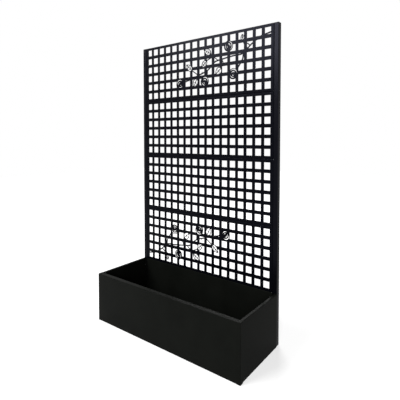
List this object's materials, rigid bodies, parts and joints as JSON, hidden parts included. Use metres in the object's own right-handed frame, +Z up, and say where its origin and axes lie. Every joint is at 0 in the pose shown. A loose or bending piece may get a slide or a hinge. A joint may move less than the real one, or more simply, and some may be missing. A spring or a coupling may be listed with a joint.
{
  "type": "planter with trellis",
  "caption": "Long rectangular sheet-metal planter box with a tall flat lattice trellis behind it, carried by two square posts and cut with a rose vine at top and bottom.",
  "frame": {"origin": "middle of the footprint, on the ground", "axes": "+Z up, -Y towards the front of the planter, +X to the right of someone facing the front"},
  "size_m": [0.7492, 0.264, 1.2196],
  "materials": {
    "box_coat": "black powder coat, satin, fine texture",
    "lattice_coat": "black powder coat, satin, fine texture",
    "black_plastic": "moulded, matt",
    "fastener_steel": "blackened"
  },
  "bodies": {
    "root": {"back_panel": "box_coat", "back_panel_left_screw_1": "fastener_steel", "back_panel_left_screw_2": "fastener_steel", "back_panel_right_screw_1": "fastener_steel", "back_panel_right_screw_2": "fastener_steel", "floor_panel": "box_coat", "front_panel": "box_coat", "lattice_panel_high": "lattice_coat", "lattice_panel_high_left_screw_1": "fastener_steel", "lattice_panel_high_left_screw_2": "fastener_steel", "lattice_panel_high_right_screw_1": "fastener_steel", "lattice_panel_high_right_screw_2": "fastener_steel", "lattice_panel_low": "lattice_coat", "lattice_panel_low_left_screw_1": "fastener_steel", "lattice_panel_low_left_screw_2": "fastener_steel", "lattice_panel_low_right_screw_1": "fastener_steel", "lattice_panel_low_right_screw_2": "fastener_steel", "left_corner_nut_1": "fastener_steel", "left_corner_nut_2": "fastener_steel", "left_post": "box_coat", "left_post_cap": "black_plastic", "left_post_foot": "black_plastic", "left_side_panel": "box_coat", "left_side_panel_screw_1": "fastener_steel", "left_side_panel_screw_2": "fastener_steel", "right_corner_nut_1": "fastener_steel", "right_corner_nut_2": "fastener_steel", "right_post": "box_coat", "right_post_cap": "black_plastic", "right_post_foot": "black_plastic", "right_side_panel": "box_coat", "right_side_panel_screw_1": "fastener_steel", "right_side_panel_screw_2": "fastener_steel", "rose_panel_high": "lattice_coat", "rose_panel_high_left_screw_1": "fastener_steel", "rose_panel_high_left_screw_2": "fastener_steel", "rose_panel_high_right_screw_1": "fastener_steel", "rose_panel_high_right_screw_2": "fastener_steel", "rose_panel_low": "lattice_coat", "rose_panel_low_left_screw_1": "fastener_steel", "rose_panel_low_left_screw_2": "fastener_steel", "rose_panel_low_right_screw_1": "fastener_steel", "rose_panel_low_right_screw_2": "fastener_steel", "seam_1_left_bolt": "fastener_steel", "seam_1_left_nut": "fastener_steel", "seam_1_right_bolt": "fastener_steel", "seam_1_right_nut": "fastener_steel", "seam_2_left_bolt": "fastener_steel", "seam_2_left_nut": "fastener_steel", "seam_2_right_bolt": "fastener_steel", "seam_2_right_nut": "fastener_steel", "seam_3_left_bolt": "fastener_steel", "seam_3_left_nut": "fastener_steel", "seam_3_right_bolt": "fastener_steel", "seam_3_right_nut": "fastener_steel", "seam_4_left_bolt": "fastener_steel", "seam_4_left_nut": "fastener_steel", "seam_4_right_bolt": "fastener_steel", "seam_4_right_nut": "fastener_steel"}
  },
  "joints": []
}
